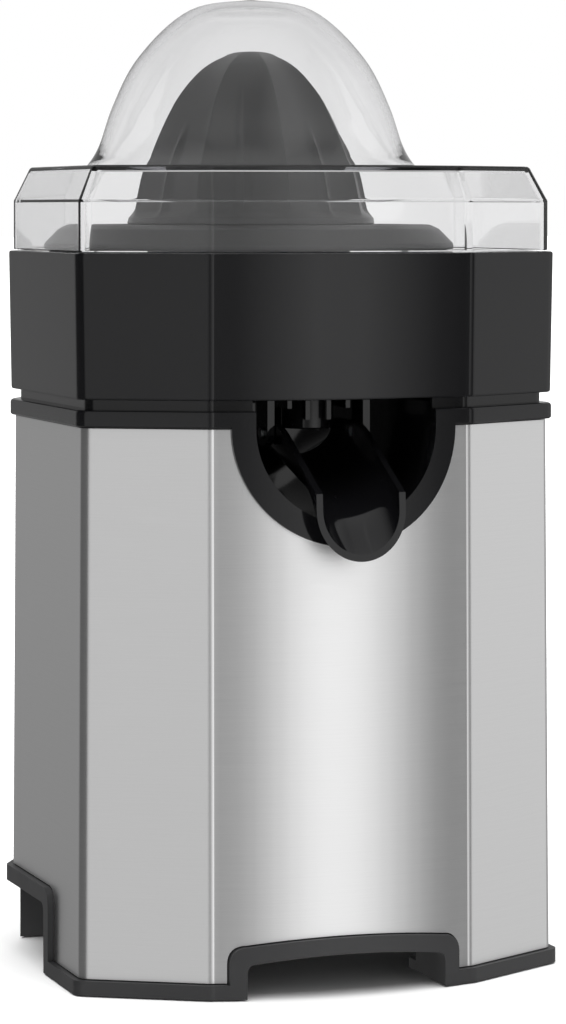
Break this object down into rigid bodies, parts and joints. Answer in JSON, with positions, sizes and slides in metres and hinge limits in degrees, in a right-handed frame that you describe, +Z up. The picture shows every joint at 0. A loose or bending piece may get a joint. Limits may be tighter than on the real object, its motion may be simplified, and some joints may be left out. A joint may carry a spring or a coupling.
{
  "type": "citrus press juicer",
  "caption": "Electric citrus press: eight-sided steel base, black juice collector with flip-up spout, strainer, ribbed reamer and clear domed cover.",
  "frame": {"origin": "on the table, under the middle of the whole footprint from the spout's tip to the back of the foot trim", "axes": "+Z up along the reamer axis, -Y out of the spout side, +X to the right of someone who faces the spout"},
  "size_m": [0.1562, 0.1758, 0.3019],
  "materials": {
    "brushed_steel": "stainless sheet with a fine horizontal brushing",
    "gloss_black": "glossy black moulding",
    "satin_black": "satin black moulding",
    "clear_plastic": "clear moulding, polished both sides",
    "black_rubber": "soft black rubber",
    "white_nylon": "natural nylon",
    "sintered_bronze": "oiled sintered bronze",
    "copper_winding": "enamelled copper wire, taped",
    "laminated_iron": "stacked laminations",
    "zinc_steel": "zinc plated steel",
    "grey_casing": "dark grey glass-filled nylon"
  },
  "bodies": {
    "housing": {"body_shell": "brushed_steel", "upper_housing": "gloss_black", "base_trim": "satin_black", "base_plate": "satin_black", "rubber_foot_1": "black_rubber", "rubber_foot_2": "black_rubber", "rubber_foot_3": "black_rubber", "rubber_foot_4": "black_rubber", "cord_gland": "black_rubber", "shaft_seal": "black_rubber", "gearbox_pad_1": "black_rubber", "gearbox_pad_2": "black_rubber", "gearbox_pad_3": "black_rubber", "gearbox_pad_4": "black_rubber", "gearbox_lower": "grey_casing", "gearbox_upper": "grey_casing", "lower_bush": "sintered_bronze", "upper_bush": "sintered_bronze", "rotor_bearing_upper": "sintered_bronze", "rotor_bearing_lower": "sintered_bronze", "stator_core": "laminated_iron", "stator_coil_left": "copper_winding", "stator_coil_right": "copper_winding", "motor_bracket": "zinc_steel", "idler_axle": "zinc_steel", "switch_body": "satin_black", "base_screw_1": "zinc_steel", "base_screw_2": "zinc_steel", "base_screw_3": "zinc_steel", "base_screw_4": "zinc_steel", "gearbox_screw_1": "zinc_steel", "gearbox_screw_2": "zinc_steel", "gearbox_screw_3": "zinc_steel", "gearbox_screw_4": "zinc_steel", "motor_screw_1": "zinc_steel", "motor_screw_2": "zinc_steel", "motor_screw_3": "zinc_steel", "motor_screw_4": "zinc_steel"},
    "rotor": {"rotor_core": "laminated_iron", "rotor_shaft": "zinc_steel"},
    "idler": {"idler_gear": "white_nylon"},
    "press_cup": {"spring_seat": "white_nylon", "return_spring": "zinc_steel"},
    "drive": {"drive_shaft": "zinc_steel", "output_gear": "white_nylon"},
    "lever": {"switch_lever": "sintered_bronze"},
    "button": {"switch_button": "white_nylon"},
    "reamer": {"reamer": "satin_black"},
    "collector": {"juice_collector": "gloss_black", "spout_pin_left": "zinc_steel", "spout_pin_right": "zinc_steel"},
    "spout": {"spout": "gloss_black"},
    "basket": {"strainer_basket": "satin_black"},
    "selector": {"pulp_selector": "satin_black"},
    "cover": {"dust_cover": "clear_plastic"}
  },
  "joints": [
    {"name": "rotor_spin", "type": "hinge", "parent": "housing", "child": "rotor", "pos_m": [-0.01141, 0.02883, 0.07], "axis": [0, 0, 1], "continuous": true},
    {"name": "idler_spin", "type": "hinge", "parent": "housing", "child": "idler", "pos_m": [0, 0.0533, 0.1], "axis": [0, 0, 1], "continuous": true},
    {"name": "drive_press", "type": "slide", "parent": "housing", "child": "press_cup", "axis": [0, 0, 1], "range_m": [-0.004, 0], "stiffness_N_per_m": 1600, "springref_m": 0.006, "deforming": ["return_spring"]},
    {"name": "drive_spin", "type": "hinge", "parent": "press_cup", "child": "drive", "pos_m": [0, 0.0158, 0.15], "axis": [0, 0, 1], "continuous": true},
    {"name": "lever_tilt", "type": "hinge", "parent": "housing", "child": "lever", "pos_m": [0.027, 0.0118, 0.1059], "axis": [0, 1, 0], "range_deg": [-14, 0]},
    {"name": "switch_press", "type": "slide", "parent": "housing", "child": "button", "axis": [0, 0, 1], "range_m": [-0.0018, 0]},
    {"name": "reamer_lift", "type": "slide", "parent": "drive", "child": "reamer", "axis": [0, 0, 1], "range_m": [0, 0.16]},
    {"name": "collector_lift", "type": "slide", "parent": "housing", "child": "collector", "axis": [0, 0, 1], "range_m": [0, 0.105]},
    {"name": "basket_lift", "type": "slide", "parent": "collector", "child": "basket", "axis": [0, 0, 1], "range_m": [0, 0.045]},
    {"name": "cover_lift", "type": "slide", "parent": "basket", "child": "cover", "axis": [0, 0, 1], "range_m": [0, 0.14]},
    {"name": "pulp_control", "type": "hinge", "parent": "basket", "child": "selector", "pos_m": [0, 0.0158, 0.22], "axis": [0, 0, 1], "range_deg": [-18, 18]},
    {"name": "spout_flip", "type": "hinge", "parent": "collector", "child": "spout", "pos_m": [0, -0.0442, 0.167], "axis": [-1, 0, 0], "range_deg": [0, 30]}
  ],
  "couplings": [
    {"joint": "idler_spin", "follows": "rotor_spin", "ratio": -0.22727},
    {"joint": "drive_spin", "follows": "rotor_spin", "ratio": 0.056818},
    {"joint": "lever_tilt", "follows": "drive_press", "rad_per_m": 58.75},
    {"joint": "switch_press", "follows": "drive_press", "ratio": 0.4},
    {"joint": "collector_lift", "follows": "reamer_lift", "ratio": 0.65625},
    {"joint": "basket_lift", "follows": "reamer_lift", "ratio": 0.28125}
  ]
}
